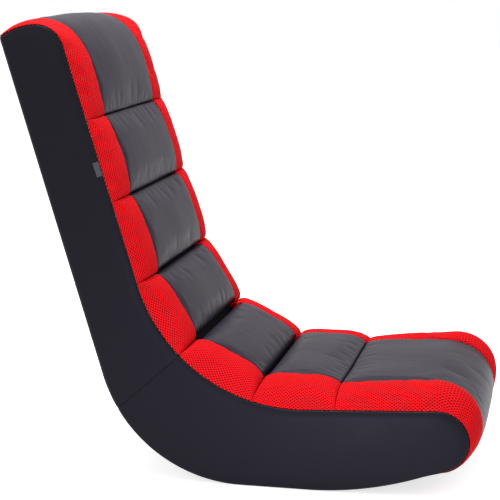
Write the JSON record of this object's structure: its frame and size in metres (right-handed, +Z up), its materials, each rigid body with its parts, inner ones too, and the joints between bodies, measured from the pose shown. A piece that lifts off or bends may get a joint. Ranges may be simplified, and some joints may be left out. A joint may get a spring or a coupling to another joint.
{
  "type": "gaming rocker chair",
  "caption": "Legless floor rocker chair with a tall back, quilted black centre and red mesh edges, and a curved base.",
  "frame": {"origin": "middle of the flat patch on the underside that the chair rests on", "axes": "+X towards the front of the seat, +Y to the sitter's left, +Z up"},
  "size_m": [0.7247, 0.4158, 0.689],
  "materials": {
    "centre_leather": "satin",
    "red_mesh": "matte",
    "side_leather": "satin",
    "back_leather": "satin",
    "plywood": "matte",
    "timber": "matte",
    "hardboard": "matte",
    "tack_board": "matte",
    "zinc_steel": "satin",
    "webbing": "matte",
    "tag_cloth": "matte",
    "foam": "matte",
    "padding": "matte"
  },
  "bodies": {
    "root": {"back_board": "tack_board", "back_cover": "back_leather", "back_foam": "foam", "back_stile_left": "plywood", "back_stile_right": "plywood", "back_straps": "webbing", "bottom_cover": "back_leather", "centre_panel_1": "centre_leather", "centre_panel_2": "centre_leather", "centre_panel_3": "centre_leather", "centre_panel_4": "centre_leather", "centre_panel_5": "centre_leather", "centre_panel_6": "centre_leather", "centre_panel_7": "centre_leather", "elbow_bolts": "zinc_steel", "elbow_gusset_left": "plywood", "elbow_gusset_right": "plywood", "elbow_nuts": "zinc_steel", "elbow_rail": "timber", "frame_screws": "zinc_steel", "front_rail": "timber", "lumbar_rail": "timber", "mesh_panel_1_left": "red_mesh", "mesh_panel_1_right": "red_mesh", "mesh_panel_2_left": "red_mesh", "mesh_panel_2_right": "red_mesh", "mesh_panel_3_left": "red_mesh", "mesh_panel_3_right": "red_mesh", "mesh_panel_4_left": "red_mesh", "mesh_panel_4_right": "red_mesh", "mesh_panel_5_left": "red_mesh", "mesh_panel_5_right": "red_mesh", "mesh_panel_6_left": "red_mesh", "mesh_panel_6_right": "red_mesh", "mesh_panel_7_left": "red_mesh", "mesh_panel_7_right": "red_mesh", "nose_foam": "foam", "rocker_skin": "hardboard", "seam_tag": "tag_cloth", "seat_foam": "foam", "seat_middle_rail": "timber", "seat_pan": "plywood", "seat_rear_rail": "timber", "seat_side_left": "plywood", "seat_side_right": "plywood", "side_cover_back_left": "side_leather", "side_cover_back_right": "side_leather", "side_cover_seat_left": "side_leather", "side_cover_seat_right": "side_leather", "side_padding_left": "padding", "side_padding_right": "padding", "top_rail": "timber"}
  },
  "joints": []
}
